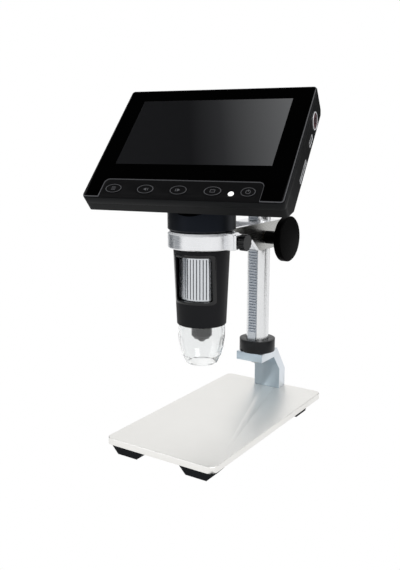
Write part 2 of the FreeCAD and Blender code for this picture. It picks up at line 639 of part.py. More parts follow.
for item in doc.Objects:
    if "Invalid" in item.State or "Error" in item.State:
        raise SystemExit("failed feature: %s (%s) %s" % (item.Name, item.Label, item.State))
for name, item in nodes.items():
    shape = item.Shape
    if shape.isNull() or not shape.isValid() or not shape.Solids:
        raise SystemExit("bad shape: " + name)
os.makedirs("parts", exist_ok=True)
for name, item in nodes.items():
    item.Shape.exportStep(os.path.join("parts", name + ".step"))
    box_now = item.Shape.BoundBox
    print("%-20s solids %d  volume %9.1f  Z %7.2f to %7.2f" % (name, len(item.Shape.Solids), item.Shape.Volume,
                                                             box_now.ZMin, box_now.ZMax))
print(len(nodes), "nodes")
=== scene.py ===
import json
import math

import bpy
from mathutils import Matrix, Vector


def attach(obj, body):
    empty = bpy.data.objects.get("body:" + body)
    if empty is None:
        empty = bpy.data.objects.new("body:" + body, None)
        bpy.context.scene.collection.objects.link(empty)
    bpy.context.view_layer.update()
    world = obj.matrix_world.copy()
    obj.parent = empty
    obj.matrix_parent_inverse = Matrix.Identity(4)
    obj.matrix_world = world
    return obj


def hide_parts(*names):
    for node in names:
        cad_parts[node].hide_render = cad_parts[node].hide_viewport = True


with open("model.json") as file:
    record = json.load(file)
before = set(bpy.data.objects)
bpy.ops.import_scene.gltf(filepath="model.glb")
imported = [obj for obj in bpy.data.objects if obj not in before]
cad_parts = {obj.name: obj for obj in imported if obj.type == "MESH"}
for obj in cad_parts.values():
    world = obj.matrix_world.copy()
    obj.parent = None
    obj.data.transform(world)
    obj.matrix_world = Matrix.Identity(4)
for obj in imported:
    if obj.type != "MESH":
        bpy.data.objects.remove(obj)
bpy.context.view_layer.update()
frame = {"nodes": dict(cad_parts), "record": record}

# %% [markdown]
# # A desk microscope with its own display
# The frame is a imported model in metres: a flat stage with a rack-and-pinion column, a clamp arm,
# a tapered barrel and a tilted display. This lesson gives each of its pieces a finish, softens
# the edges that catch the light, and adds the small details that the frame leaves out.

MM = 0.001
nodes = frame["nodes"]

# %% [markdown]
# ## Colours and shader nodes
# A colour picked from a picture is in sRGB, and shaders work in linear light, so one function
# converts every hex code. A second one adds a shader node, sets its sockets and links it, so that
# each material below reads as a short list of what it is made of.

# %% Colour and node helpers
def linear(code, alpha=1.0):
    parts = [int(code[i:i + 2], 16) / 255 for i in (0, 2, 4)]
    return tuple(c / 12.92 if c <= 0.04045 else ((c + 0.055) / 1.055) ** 2.4 for c in parts) + (alpha,)


def add(tree, kind, sockets=None, **settings):
    item = tree.nodes.new(kind)
    for key, value in settings.items():
        setattr(item, key, value)
    for key, value in (sockets or {}).items():
        if isinstance(value, bpy.types.NodeSocket):
            tree.links.new(value, item.inputs[key])
        else:
            item.inputs[key].default_value = value
    return item


print("mid grey is", round(linear("808080")[0], 3), "in linear light")

# %% [markdown]
# ## A surface that isn't flat
# Moulded plastic has a fine grain, and machined metal has tool marks. Both are made with noise in
# object coordinates, which here are real metres, so the scale of the grain is a real size. The
# noise moves the roughness and the bump a little. A bevel node rounds the shading normal near
# edges by a fraction of a millimetre, because no real edge is perfectly sharp.

# %% One maker for the plain finishes
BROAD_SCALE = 60.0          # clouds of about 17 mm
NOISE_LOW, NOISE_HIGH = 0.3, 0.7    # most of the noise lies between these
BUMP_GAIN = 5               # bump strength for each mm of depth


def surface(name, colour, rough, metal=0.0, grain=0.4, stretch=(1, 1, 1), depth=0.02, vary=0.06,
            shine=0.5, edge=0.25, coat=0.0, mottle=0.14):
    """A finish with a grain. Lengths are in mm, vary spreads the roughness, mottle darkens clouds."""
    mat = bpy.data.materials.new(name)
    mat.use_nodes = True
    tree = mat.node_tree
    tree.nodes.clear()
    place = add(tree, "ShaderNodeTexCoord").outputs["Object"]
    lines = add(tree, "ShaderNodeMapping", {"Vector": place, "Scale": stretch}).outputs["Vector"]
    fine = add(tree, "ShaderNodeTexNoise", {"Vector": lines, "Scale": 1 / (grain * MM), "Detail": 3.0})
    broad = add(tree, "ShaderNodeTexNoise", {"Vector": place, "Scale": BROAD_SCALE, "Detail": 2.0})
    dull = add(tree, "ShaderNodeMapRange", {
        "Value": fine.outputs["Fac"], "From Min": NOISE_LOW, "From Max": NOISE_HIGH,
        "To Min": rough - vary, "To Max": rough + vary})
    base = linear(colour)
    dark = tuple((1 - mottle) * c for c in base[:3]) + (1.0,)
    tone = add(tree, "ShaderNodeMixRGB", {"Fac": broad.outputs["Fac"], "Color1": base, "Color2": dark})
    soft = add(tree, "ShaderNodeBevel", {"Radius": edge * MM}, samples=4)
    bump = add(tree, "ShaderNodeBump", {"Height": fine.outputs["Fac"], "Strength": depth * BUMP_GAIN,
                                        "Distance": depth * MM, "Normal": soft.outputs["Normal"]})
    shader = add(tree, "ShaderNodeBsdfPrincipled", {
        "Base Color": tone.outputs["Color"], "Roughness": dull.outputs["Result"], "Metallic": metal,
        "Specular IOR Level": shine, "Normal": bump.outputs["Normal"], "Coat Weight": coat})
    out = add(tree, "ShaderNodeOutputMaterial")
    tree.links.new(shader.outputs["BSDF"], out.inputs["Surface"])
    return mat


def shader_of(mat):
    return next(node for node in mat.node_tree.nodes if node.type == "BSDF_PRINCIPLED")


def mix_in(mat, share, colour):
    """Blends a second colour into a finish, by a share from 0 to 1."""
    shader = shader_of(mat)
    tone = shader.inputs["Base Color"].links[0].from_socket
    mix = add(mat.node_tree, "ShaderNodeMixRGB", {"Fac": share, "Color1": tone, "Color2": colour})
    mat.node_tree.links.new(mix.outputs["Color"], shader.inputs["Base Color"])


def object_axes(mat):
    place = add(mat.node_tree, "ShaderNodeTexCoord").outputs["Object"]
    return add(mat.node_tree, "ShaderNodeSeparateXYZ", {"Vector": place}).outputs


print("clouds of", round(1 / BROAD_SCALE / MM), "mm in every finish")

# %% [markdown]
# ## Finishes for the frame's pieces
# The metals are aluminium, steel and brass. They get the full metallic value, and a roughness that
# falls from the blasted stage to the polished column. The blacks are moulded plastic, glass and
# rubber. They differ in how much they shine, and a low shine keeps the white studio out of them.

# %% Plain finishes, one for each slot
finishes = {
    # Blasted aluminium blurs what it reflects into an even, pale grey.
    "stage_metal": surface("stage_metal", "F1F0ED", 0.45, 1.0, grain=0.15, depth=0.01, mottle=0.03),
    # Milled aluminium bar has a finer, cooler sheen.
    "bracket_metal": surface("bracket_metal", "E2E8EE", 0.34, 1.0, grain=0.2, depth=0.015),
    # A polished steel rod shows light and dark streaks along its length.
    "column_metal": surface("column_metal", "E9EAEB", 0.24, 1.0, grain=0.3, stretch=(1, 1, 0.04),
                            depth=0.01),
    # Milled steel: the cutter's marks run across the rack.
    "rack_metal": surface("rack_metal", "BFC4CA", 0.30, 1.0, grain=0.2, stretch=(0.1, 1, 1),
                          depth=0.01),
    # Turned and milled aluminium with level marks, calm and bright.
    "arm_metal": surface("arm_metal", "ECEDEF", 0.30, 1.0, grain=0.25, stretch=(0.05, 0.05, 1),
                         depth=0.01, mottle=0.05),
    # Plated steel, black oxide steel and turned brass for the small fixings.
    "screw_steel": surface("screw_steel", "B4B6B8", 0.30, 1.0, grain=0.3),
    "dark_screw": surface("dark_screw", "1C1C1D", 0.38, 0.6, grain=0.3),
    "bush_brass": surface("bush_brass", "C9A65C", 0.30, 1.0, grain=0.3),
    # Moulded ABS in deep black, which hardly shines.
    "knob_black": surface("knob_black", "030303", 0.36, grain=0.5, shine=0.01, depth=0.01, edge=0.4),
    # Bright aluminium, drawn along the bars of the wheel.
    "wheel_metal": surface("wheel_metal", "D9DCE0", 0.25, 1.0, grain=0.3, stretch=(1, 1, 0.08),
                           depth=0.01),
    # ABS again: a satin barrel, a glossy sleeve and a finely spark-eroded case and frame.
    "shell_black": surface("shell_black", "18181A", 0.5, grain=0.25, shine=0.1, depth=0.03),
    "sleeve_black": surface("sleeve_black", "090A0C", 0.22, grain=0.5, shine=0.4, depth=0.01),
    "case_black": surface("case_black", "0F1011", 0.4, grain=0.25, shine=0.1, depth=0.03),
    "frame_black": surface("frame_black", "141516", 0.42, grain=0.3, shine=0.07, depth=0.02),
    # Clear sheet that is printed black behind: as smooth as a mirror, and deeply black.
    "glass_black": surface("glass_black", "020202", 0.06, grain=2.0, shine=0.12, depth=0.0, vary=0.01),
    # Silicone rubber keys are dull, and the moulded nose has a little gloss.
    "keypad_black": surface("keypad_black", "0A0A0B", 0.55, grain=0.3, shine=0.05, depth=0.03),
    "nose_grey": surface("nose_grey", "0A0A0B", 0.3, grain=0.3, shine=0.2),
    # Inside: varnished glass fibre, epoxy packages, the panel's back and a foil pouch.
    "board_green": surface("board_green", "1E5A36", 0.4, grain=0.6, coat=0.3),
    "chip_dark": surface("chip_dark", "20222A", 0.2, grain=0.6),
    "panel_dark": surface("panel_dark", "1A1B1E", 0.25, grain=1.0),
    "battery_wrap": surface("battery_wrap", "9AA0AA", 0.4, 0.5, grain=1.2, depth=0.05),
    # Moulded rubber feet take no highlight at all.
    "rubber_black": surface("rubber_black", "141618", 0.75, grain=0.4, shine=0.1, depth=0.05, edge=0.5),
    # Nickel-plated sockets, a nylon pad, and polyimide film for the ribbon cable.
    "port_metal": surface("port_metal", "C9CACC", 0.25, 1.0, grain=0.3),
    "nylon_white": surface("nylon_white", "DEDCD4", 0.5, grain=0.4),
    "ribbon_amber": surface("ribbon_amber", "B4702A", 0.35, grain=0.8),
}
print(len(finishes), "plain finishes")

# %% [markdown]
# ## Bars that are bright on one side only
# The bracket and the arm are cut from drawn aluminium bar. Some of their faces carry painted light,
# chosen by the direction of a face: the bracket's front and back faces get a painted bluish
# reflection, and the outer sides of the arm's two plates get painted shade that lightens to the back.

# %% Painted reflection and shade on the bracket and the arm
FACING_FROM, FACING_TO = 0.45, 0.75      # how squarely a face looks along the axis
PLATE_X, RING_END_Y = 10.4, -7       # the arm's plates lie beyond these, in mm
ARM_FRONT_Y, ARM_BACK_Y = -6, 58


def facing(mat, axis):
    normal = add(mat.node_tree, "ShaderNodeNewGeometry").outputs["Normal"]
    along = add(mat.node_tree, "ShaderNodeSeparateXYZ", {"Vector": normal}).outputs[axis]
    size = add(mat.node_tree, "ShaderNodeMath", {0: along}, operation="ABSOLUTE").outputs["Value"]
    return add(mat.node_tree, "ShaderNodeMapRange", {
        "Value": size, "From Min": FACING_FROM, "From Max": FACING_TO}).outputs["Result"]


def on_arm_plates(mat, axes):
    tree = mat.node_tree
    out = add(tree, "ShaderNodeMath", {0: axes["X"]}, operation="ABSOLUTE").outputs["Value"]
    wide = add(tree, "ShaderNodeMath", {0: out, 1: PLATE_X * MM}, operation="GREATER_THAN")
    far = add(tree, "ShaderNodeMath", {0: axes["Y"], 1: RING_END_Y * MM}, operation="GREATER_THAN")
    return add(tree, "ShaderNodeMath", {0: wide.outputs["Value"], 1: far.outputs["Value"]},
               operation="MULTIPLY").outputs["Value"]


# Painted reflection: the faces that look forward and back are a bluish grey.
bracket = finishes["bracket_metal"]
mix_in(bracket, facing(bracket, "Y"), linear("B2C0CA"))

# Painted shade: the outer sides of the arm's plates are a darker grey, lighter towards the back.
arm = finishes["arm_metal"]
axes = object_axes(arm)
side = add(arm.node_tree, "ShaderNodeMath", {0: facing(arm, "X"), 1: on_arm_plates(arm, axes)},
           operation="MULTIPLY")
along = add(arm.node_tree, "ShaderNodeMapRange", {
    "Value": axes["Y"], "From Min": ARM_FRONT_Y * MM, "From Max": ARM_BACK_Y * MM})
painted_plate_shade = add(arm.node_tree, "ShaderNodeMixRGB", {
    "Fac": along.outputs["Result"], "Color1": linear("A0A09C"), "Color2": linear("BEBEBC")})
mix_in(arm, side.outputs["Value"], painted_plate_shade.outputs["Color"])
print("painted shade on", bracket.name, "and", arm.name)

# %% [markdown]
# ## The gaps between the rack's teeth
# Little light reaches the bottom of a gap that is a millimetre deep. The rack's finish gets a
# greyer colour with depth, measured from the teeth's tips in the frame's own mesh.

# %% Grey roots between the rack's teeth
ROOT_FROM, ROOT_TO = 0.35, 1.2       # mm below the tips
rack = finishes["rack_metal"]
tip_y = min(corner.co.y for corner in nodes["gear_rack"].data.vertices) / MM
depth = add(rack.node_tree, "ShaderNodeMapRange", {
    "Value": object_axes(rack)["Y"], "From Min": (tip_y + ROOT_FROM) * MM,
    "From Max": (tip_y + ROOT_TO) * MM})
mix_in(rack, depth.outputs["Result"], linear("A0A6AE"))
print("rack teeth start at y", round(tip_y, 2), "mm")

# %% [markdown]
# ## Clear parts and lamps
# The cap at the barrel's tip is a thin clear moulding: most light goes straight through it, its
# edges look darker, slow waves in its wall bend what is behind, and a little haze makes it milky.
# The lamps are milky white and glow faintly.

# %% Clear plastic, lens glass and lamps
WAVE_SCALE = 160.0          # waves of about 6 mm
WAVE_HEIGHT = 0.4           # mm
CLEAR_IOR = 1.46
CAP_MILK = 0.05             # share of haze


def clear(name, tint, rough, wave, milk=0.0):
    mat = bpy.data.materials.new(name)
    mat.use_nodes = True
    tree = mat.node_tree
    tree.nodes.clear()
    place = add(tree, "ShaderNodeTexCoord").outputs["Object"]
    noise = add(tree, "ShaderNodeTexNoise", {"Vector": place, "Scale": WAVE_SCALE, "Detail": 1.5})
    bump = add(tree, "ShaderNodeBump", {"Height": noise.outputs["Fac"], "Strength": wave,
                                        "Distance": WAVE_HEIGHT * MM})
    shader = add(tree, "ShaderNodeBsdfPrincipled", {
        "Base Color": linear(tint), "Roughness": rough, "IOR": CLEAR_IOR, "Transmission Weight": 1.0,
        "Normal": bump.outputs["Normal"]})
    haze = add(tree, "ShaderNodeBsdfTranslucent", {"Color": linear("F0F1F2")})
    body = add(tree, "ShaderNodeMixShader", {0: milk, 1: shader.outputs["BSDF"], 2: haze.outputs["BSDF"]})
    see = add(tree, "ShaderNodeBsdfTransparent", {"Color": linear("F2F4F5")})
    path = add(tree, "ShaderNodeLightPath")
    mix = add(tree, "ShaderNodeMixShader", {0: path.outputs["Is Shadow Ray"], 1: body.outputs["Shader"],
                                            2: see.outputs["BSDF"]})
    out = add(tree, "ShaderNodeOutputMaterial")
    tree.links.new(mix.outputs["Shader"], out.inputs["Surface"])
    return mat


def lamp(name, colour, glow):
    mat = surface(name, colour, 0.3, grain=0.6)
    shader = shader_of(mat)
    shader.inputs["Emission Color"].default_value = linear(colour)
    shader.inputs["Emission Strength"].default_value = glow
    return mat


finishes["clear_plastic"] = clear("clear_plastic", "FAFBFB", 0.08, 0.25, milk=CAP_MILK)
finishes["lens_glass"] = clear("lens_glass", "F4F8FA", 0.0, 0.0)
finishes["led_white"] = lamp("led_white", "F4F4F0", 0.35)
print("haze of the cap", CAP_MILK, "and waves of", round(1 / WAVE_SCALE / MM), "mm")

# %% [markdown]
# ## Painting the frame
# Each node takes the finish that its slot names. Two pieces then get a finish of their own: the
# thumb screw is a little glossier than the focus knob, and the neck is painted metal with a cool
# sheen.

# %% Every frame node takes the finish of its slot
slots = {part["node"]: part["material_slot"] for part in frame["record"]["subparts"]}
for name, item in nodes.items():
    item.data.materials.clear()
    item.data.materials.append(finishes[slots[name]])
print(len(nodes), "nodes painted")

# %% Thumb screw and neck
# Turned metal under a satin black coat: it keeps a narrow highlight.
finishes["thumb_black"] = surface("thumb_black", "0C0D0F", 0.3, grain=0.4, shine=0.25, edge=0.1)
nodes["clamp_thumb_screw"].data.materials[0] = finishes["thumb_black"]
# Sprayed paint, whose highlight is broad and slightly blue.
finishes["neck_black"] = surface("neck_black", "060708", 0.4, grain=0.4, shine=0.2, depth=0.01)
shader_of(finishes["neck_black"]).inputs["Specular Tint"].default_value = linear("C4D4F4")
nodes["neck_housing"].data.materials[0] = finishes["neck_black"]
print(len(finishes), "finishes so far")

# %% [markdown]
# ## The display's own coordinates
# The display is turned and leans back, so its details are modelled flat and then moved by one
# matrix, which is baked into each mesh: the object itself stays at the origin.

# %% Where the display and the barrel stand
AXIS_Y = -24.6              # the barrel's axis, in mm
SWIVEL, LEAN = 10.95, 43.3  # degrees
SCREEN_Y, SCREEN_Z = 2.74, 179.9
TURN = Matrix.Translation((0, AXIS_Y * MM, 0)) @ Matrix.Rotation(math.radians(SWIVEL), 4, "Z")
DISPLAY = (TURN @ Matrix.Translation((0, SCREEN_Y * MM, SCREEN_Z * MM))
           @ Matrix.Rotation(math.radians(LEAN), 4, "X"))


def select_only(item):
    bpy.ops.object.select_all(action="DESELECT")
    item.select_set(True)
    bpy.context.view_layer.objects.active = item


def settle(item, name, finish, body, matrix=None):
    """Bakes the place into the mesh, names the piece and hands it to a body."""
    select_only(item)
    if matrix is not None:
        item.matrix_world = matrix @ item.matrix_world
    bpy.ops.object.transform_apply(location=True, rotation=True, scale=True)
    item.name = item.data.name = name
    item.data.materials.clear()
    item.data.materials.append(finishes[finish])
    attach(item, body)
    return item


def finish_with(item, kind, **settings):
    """Adds a modifier with its settings and applies it."""
    modifier = item.modifiers.new(kind.title(), kind)
    for key, value in settings.items():
        setattr(modifier, key, value)
    select_only(item)
    bpy.ops.object.modifier_apply(modifier=modifier.name)


print("display centre at", [round(v / MM, 1) for v in DISPLAY.translation])

# %% [markdown]
# ## Softened copies of the big mouldings
# The frame's meshes are loose triangles with hard edges. A copy is merged, its flat areas are
# joined into single faces, and a small bevel is cut along every edge sharper than 40 degrees.
# That gives the thin bright line that a real chamfer shows, and the copy stands for the node.

# %% Copies with real chamfers
MERGE = 0.002               # mm
FLAT, SMOOTH, SHARP, STEEP = 0.4, 30, 40, 50     # degrees
BEVELS = {"front_glass": 0.45, "front_frame": 0.5, "stage_plate": 0.35, "column_bracket": 0.3,
          "keypad_strip": 0.2, "focus_knob": 0.25, "column_collar": 0.4}
bodies = {name: body for body, names in frame["record"]["behaviour"]["bodies"].items() for name in names}


def softened(name, width):
    copy = nodes[name].copy()
    copy.data = nodes[name].data.copy()
    bpy.context.scene.collection.objects.link(copy)
    copy.parent = None
    copy.matrix_world = Matrix.Identity(4)
    select_only(copy)
    bpy.ops.object.mode_set(mode="EDIT")
    bpy.ops.mesh.select_all(action="SELECT")
    bpy.ops.mesh.remove_doubles(threshold=MERGE * MM)
    bpy.ops.mesh.dissolve_limited(angle_limit=math.radians(FLAT))
    bpy.ops.object.mode_set(mode="OBJECT")
    finish_with(copy, "BEVEL", width=width * MM, segments=2, limit_method="ANGLE",
                angle_limit=math.radians(SHARP), use_clamp_overlap=True, miter_outer="MITER_ARC")
    bpy.ops.object.shade_smooth_by_angle(angle=math.radians(SMOOTH))
    settle(copy, name + "_soft", slots[name], bodies[name])
    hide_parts(name)
    return copy


for name, width in BEVELS.items():
    soft = softened(name, width)
    print(name, len(soft.data.polygons), "faces after its bevel")

# %% Painted finish of the collar
# Black enamel on a turned steel ring, a little glossier than the plastic near it.
finishes["collar_black"] = surface("collar_black", "131416", 0.35, grain=0.4, shine=0.2, edge=0.4)
bpy.data.objects["column_collar_soft"].data.materials[0] = finishes["collar_black"]
print("collar finish", finishes["collar_black"].name)

# %% [markdown]
# ## The end of the clamp's boss
# The screw boss carries a thin machined pad under the thumb screw's head. A cube is drilled with a
# cylinder and its edges are broken.

# %% Boss pad
PAD_X, PAD_Z = 25.2, 117.5
PAD_THICK, PAD_WIDE, PAD_HIGH, PAD_EDGE = 1.8, 8.0, 8.6, 0.3
DRILL_RADIUS, DRILL_LONG = 2.7, 8
pad_place = (PAD_X * MM, AXIS_Y * MM, PAD_Z * MM)
bpy.ops.object.select_all(action="DESELECT")
bpy.ops.mesh.primitive_cylinder_add(vertices=48, radius=DRILL_RADIUS * MM, depth=DRILL_LONG * MM,
                                    rotation=(0, math.radians(90), 0), location=pad_place)
drill = bpy.context.object
bpy.ops.mesh.primitive_cube_add(size=1, location=pad_place)
pad = bpy.context.object
pad.scale = (PAD_THICK * MM, PAD_WIDE * MM, PAD_HIGH * MM)
bpy.ops.object.transform_apply(location=False, rotation=False, scale=True)
finish_with(pad, "BOOLEAN", object=drill, operation="DIFFERENCE", solver="EXACT")
bpy.data.objects.remove(drill, do_unlink=True)
finish_with(pad, "BEVEL", width=PAD_EDGE * MM, segments=2, limit_method="ANGLE",
            angle_limit=math.radians(STEEP))
settle(pad, "clamp_boss_pad", "arm_metal", "carriage")
print("boss pad", len(pad.data.polygons), "faces")

# %% [markdown]
# ## The bright upper edge of the clamp ring
# The ring's turned chamfer carries a painted highlight: a band of near-white, matte colour. It is a
# thin open cone over the chamfer, with a wall of a few hundredths of a millimetre.

# %% Chamfer band
BAND_LOW_R, BAND_TOP_R, BAND_HIGH, BAND_Z = 20.26, 18.96, 1.3, 121.76
BAND_WALL = 0.04
# A painted highlight: a near-white, matte colour for the light along the chamfer.
finishes["painted_rim_highlight"] = surface("painted_rim_highlight", "FFFFFF", 0.6, 0.15, grain=0.3, depth=0.0, mottle=0.0)
bpy.ops.object.select_all(action="DESELECT")
bpy.ops.mesh.primitive_cone_add(vertices=128, radius1=BAND_LOW_R * MM, radius2=BAND_TOP_R * MM,
                                depth=BAND_HIGH * MM, end_fill_type="NOTHING",
                                location=(0, AXIS_Y * MM, BAND_Z * MM))
band = bpy.context.object
finish_with(band, "SOLIDIFY", thickness=BAND_WALL * MM, offset=1.0)
bpy.ops.object.shade_smooth_by_angle(angle=math.radians(SMOOTH))
settle(band, "clamp_ring_chamfer", "painted_rim_highlight", "carriage")
print("band", round(band.dimensions.x / MM, 2), "mm across")

# %% [markdown]
# ## A lit edge on the glass
# The front sheet is black, but its polished chamfer catches the lamps as a thin grey line, which is
# painted here: the bevel made narrow faces that lean between the front and the sides, and these get
# a lighter tone as a painted highlight.

# %% Chamfer of the glass
LEAN_LOW, LEAN_HIGH = 0.25, 0.97     # cosine between a chamfer face and the glass's front
# A painted highlight: the sheet's polished edge, coloured as a thin grey line.
finishes["painted_edge_highlight"] = surface("painted_edge_highlight", "4A4A4C", 0.3, grain=0.6, shine=0.25, depth=0.0)
glass = bpy.data.objects["front_glass_soft"]
glass.data.materials.append(finishes["painted_edge_highlight"])
outward = (DISPLAY.to_3x3() @ Vector((0, 0, 1))).normalized()
lit = 0
for face in glass.data.polygons:
    if LEAN_LOW < face.normal.dot(outward) < LEAN_HIGH:
        face.material_index = 1
        lit += 1
print(lit, "chamfer faces")

# %% [markdown]
# ## The focus wheel
# Seen through the window, the wheel is a ring of flat bright bars with narrow grey grooves, and a
# plain rim at each end. A cylinder with three faces to each bar is cut down along every third
# face, which makes grooves with square shoulders. Two discs close the ends, and a bore leaves
# room for the lens that travels inside.

# %% Fluted wheel
# The same aluminium in the grooves, greyer because little light gets in.
finishes["groove_dark"] = surface("groove_dark", "5A5F66", 0.5, 0.6, grain=0.4)
WHEEL_LOW, WHEEL_HIGH = 82.2, 108.0
WHEEL_RADIUS, WHEEL_BORE = 13.7, 11.2
WHEEL_BARS, GROOVE_DEPTH, GROOVE_INSET, BAR_EDGE = 44, 0.7, 0.06, 0.12
RIM, OVERLAP, BORE_SPARE = 1.0, 0.05, 2


def fluted_wheel(low, high, radius, bars, deep, rim):
    bpy.ops.object.select_all(action="DESELECT")
    bpy.ops.mesh.primitive_cylinder_add(vertices=bars * 3, radius=radius * MM,
                                        depth=(high - low - 2 * rim) * MM,
                                        location=(0, 0, (low + high) / 2 * MM))
    item = bpy.context.object
    step = 2 * math.pi / (bars * 3)
    bpy.ops.object.mode_set(mode="EDIT")
    bpy.ops.mesh.select_mode(type="FACE")
    bpy.ops.mesh.select_all(action="DESELECT")
    bpy.ops.object.mode_set(mode="OBJECT")
    for face in item.data.polygons:
        if abs(face.normal.z) < 0.5:
            turn = math.atan2(face.center.y, face.center.x) % (2 * math.pi)
            face.select = int(turn / step) % 3 == 0
    bpy.ops.object.mode_set(mode="EDIT")
    bpy.ops.mesh.inset(thickness=GROOVE_INSET * MM, use_individual=True)
    bpy.ops.mesh.extrude_faces_move(TRANSFORM_OT_shrink_fatten={"value": -deep * MM})
    bpy.ops.object.mode_set(mode="OBJECT")
    disc = rim + OVERLAP
    shapes = [(radius, disc, low + disc / 2, "UNION"),
              (radius, disc, high - disc / 2, "UNION"),
              (WHEEL_BORE, high - low + 2 * BORE_SPARE, (low + high) / 2, "DIFFERENCE")]
    for size, tall, middle, mode in shapes:
        bpy.ops.mesh.primitive_cylinder_add(vertices=96, radius=size * MM, depth=tall * MM,
                                            location=(0, 0, middle * MM))
        tool = bpy.context.object
        finish_with(item, "BOOLEAN", object=tool, operation=mode, solver="EXACT")
        bpy.data.objects.remove(tool, do_unlink=True)
    finish_with(item, "BEVEL", width=BAR_EDGE * MM, segments=2, limit_method="ANGLE",
                angle_limit=math.radians(STEEP))
    settle(item, "focus_wheel_fluted", "wheel_metal", "fine_focus", TURN)
    item.data.materials.append(finishes["groove_dark"])
    middle = TURN.translation
    for face in item.data.polygons:
        if abs(face.normal.z) < 0.7:
            reach = math.hypot(face.center.x - middle.x, face.center.y - middle.y)
            face.material_index = 1 if reach < (radius - deep / 2) * MM else 0
    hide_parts("focus_wheel")
    return item


wheel = fluted_wheel(WHEEL_LOW, WHEEL_HIGH, WHEEL_RADIUS, WHEEL_BARS, GROOVE_DEPTH, RIM)
print("wheel", len(wheel.data.polygons), "faces")

# %% [markdown]
# ## The screen behind the glass
# The picture area is a dark grey window in the black front sheet. It is a thin plate a hair proud
# of the glass. A studio lamp leaves a diagonal sheen across it: dark on the left, lighter towards
# the upper right. The sheen is a painted reflection: a colour gradient in the plate's finish.

# %% Screen finish
# A switched-off panel under its polariser film: dark grey, with a painted sheen of the studio lamp.
SCREEN_WIDE, SCREEN_HIGH, SCREEN_THICK = 95.04, 53.86, 0.06
# Colours of the painted reflection, from the dark left to the lighter upper right.
SHEEN_START, SHEEN_END = "19191A", "5C5C5C"
SHEEN = [(0.42, "171718"), (0.60, "2A2A2B"), (0.82, "4A4A4A")]
SHEEN_REACH, SHEEN_LEAN = 55, 0.35    # mm to each side, and how far the bands lean


def screen_finish():
    mat = surface("screen_grey", "1C1C1D", 0.18, grain=1.5, shine=0.06, depth=0.0)
    tree = mat.node_tree
    place = add(tree, "ShaderNodeTexCoord").outputs["Object"]
    flat = DISPLAY.inverted()
    turn = flat.to_euler()
    local = add(tree, "ShaderNodeMapping", {"Vector": place, "Location": flat.translation,
                                            "Rotation": (turn.x, turn.y, turn.z)})
    axes = add(tree, "ShaderNodeSeparateXYZ", {"Vector": local.outputs["Vector"]})
    lean = add(tree, "ShaderNodeMath", {0: axes.outputs["Y"], 1: SHEEN_LEAN, 2: axes.outputs["X"]},
               operation="MULTIPLY_ADD")
    across = add(tree, "ShaderNodeMapRange", {
        "Value": lean.outputs["Value"], "From Min": -SHEEN_REACH * MM, "From Max": SHEEN_REACH * MM})
    ramp = add(tree, "ShaderNodeValToRGB", {"Fac": across.outputs["Result"]})
    stops = ramp.color_ramp.elements
    stops[0].position = 0.0
    stops[0].color = linear(SHEEN_START)
    stops[1].position = 1.0
    stops[1].color = linear(SHEEN_END)
    for position, code in SHEEN:
        stops.new(position).color = linear(code)
    tree.links.new(ramp.outputs["Color"], shader_of(mat).inputs["Base Color"])
    return mat


finishes["screen_grey"] = screen_finish()
print(len(SHEEN) + 2, "stops in the sheen")

# %% Screen plate
bpy.ops.object.select_all(action="DESELECT")
bpy.ops.mesh.primitive_cube_add(size=1)
screen = bpy.context.object
screen.scale = (SCREEN_WIDE * MM, SCREEN_HIGH * MM, SCREEN_THICK * MM)
bpy.ops.object.transform_apply(scale=True)
finish_with(screen, "BEVEL", width=0.02 * MM, segments=1)
settle(screen, "screen_window", "screen_grey", "microscope", DISPLAY)
print("screen", round(screen.dimensions.x / MM, 1), "mm along world X")

# %% [markdown]
# ## Keys
# Each key is outlined by a fine raised oval and carries a small generic symbol. The oval is a thin
# torus that is stretched sideways, and each one rides on its own key so that it moves when the key
# is pressed. The symbols are flat bars, triangles and a power mark.

# %% Oval outlines
# Grey ink on the raised ovals and the symbols: dull, and a little lighter than the keys.
finishes["mark_grey"] = surface("mark_grey", "5C5C5E", 0.5, grain=0.4, shine=0.2)
KEY_Y = -46.2
# Each key's place along the case and its length, in mm.
KEYS = {"key_1": (-41.5, 10.2), "key_2": (-21.4, 10.2), "key_3": (-1.3, 10.2), "key_4": (18.8, 10.2),
        "key_power": (38.9, 8.5)}
OVAL_RADIUS, OVAL_MARGIN, OVAL_WIRE, OVAL_SUNK = 3.0, 0.35, 0.13, 0.05


def oval(body, x, length):
    bpy.ops.object.select_all(action="DESELECT")
    bpy.ops.mesh.primitive_torus_add(major_radius=OVAL_RADIUS * MM, minor_radius=OVAL_WIRE * MM,
                                     major_segments=48, minor_segments=8)
    item = bpy.context.object
    item.scale.x = (length / 2 - OVAL_MARGIN) / OVAL_RADIUS
    bpy.ops.object.shade_smooth()
    item.location = (x * MM, KEY_Y * MM, -OVAL_SUNK * MM)
    return settle(item, body + "_outline", "mark_grey", body, DISPLAY)


for body, (x, length) in KEYS.items():
    oval(body, x, length)
print(len(KEYS), "outlines")

# %% Shapes for the symbols
MARK_THICK, MARK_SUNK = 0.08, 0.03


def bar(x, y, wide, high):
    bpy.ops.mesh.primitive_cube_add(size=1, location=(x * MM, y * MM, 0))
    item = bpy.context.object
    item.scale = (wide * MM, high * MM, MARK_THICK * MM)
    finish_with(item, "BEVEL", width=0.02 * MM, segments=1)
    return item


def triangle(size, turn):
    bpy.ops.mesh.primitive_cylinder_add(vertices=3, radius=size * MM, depth=MARK_THICK * MM,
                                        rotation=(0, 0, math.radians(turn)))
    return bpy.context.object


def circle(radius, wire):
    bpy.ops.mesh.primitive_torus_add(major_radius=radius * MM, minor_radius=wire * MM,
                                     major_segments=32, minor_segments=6)
    return bpy.context.object


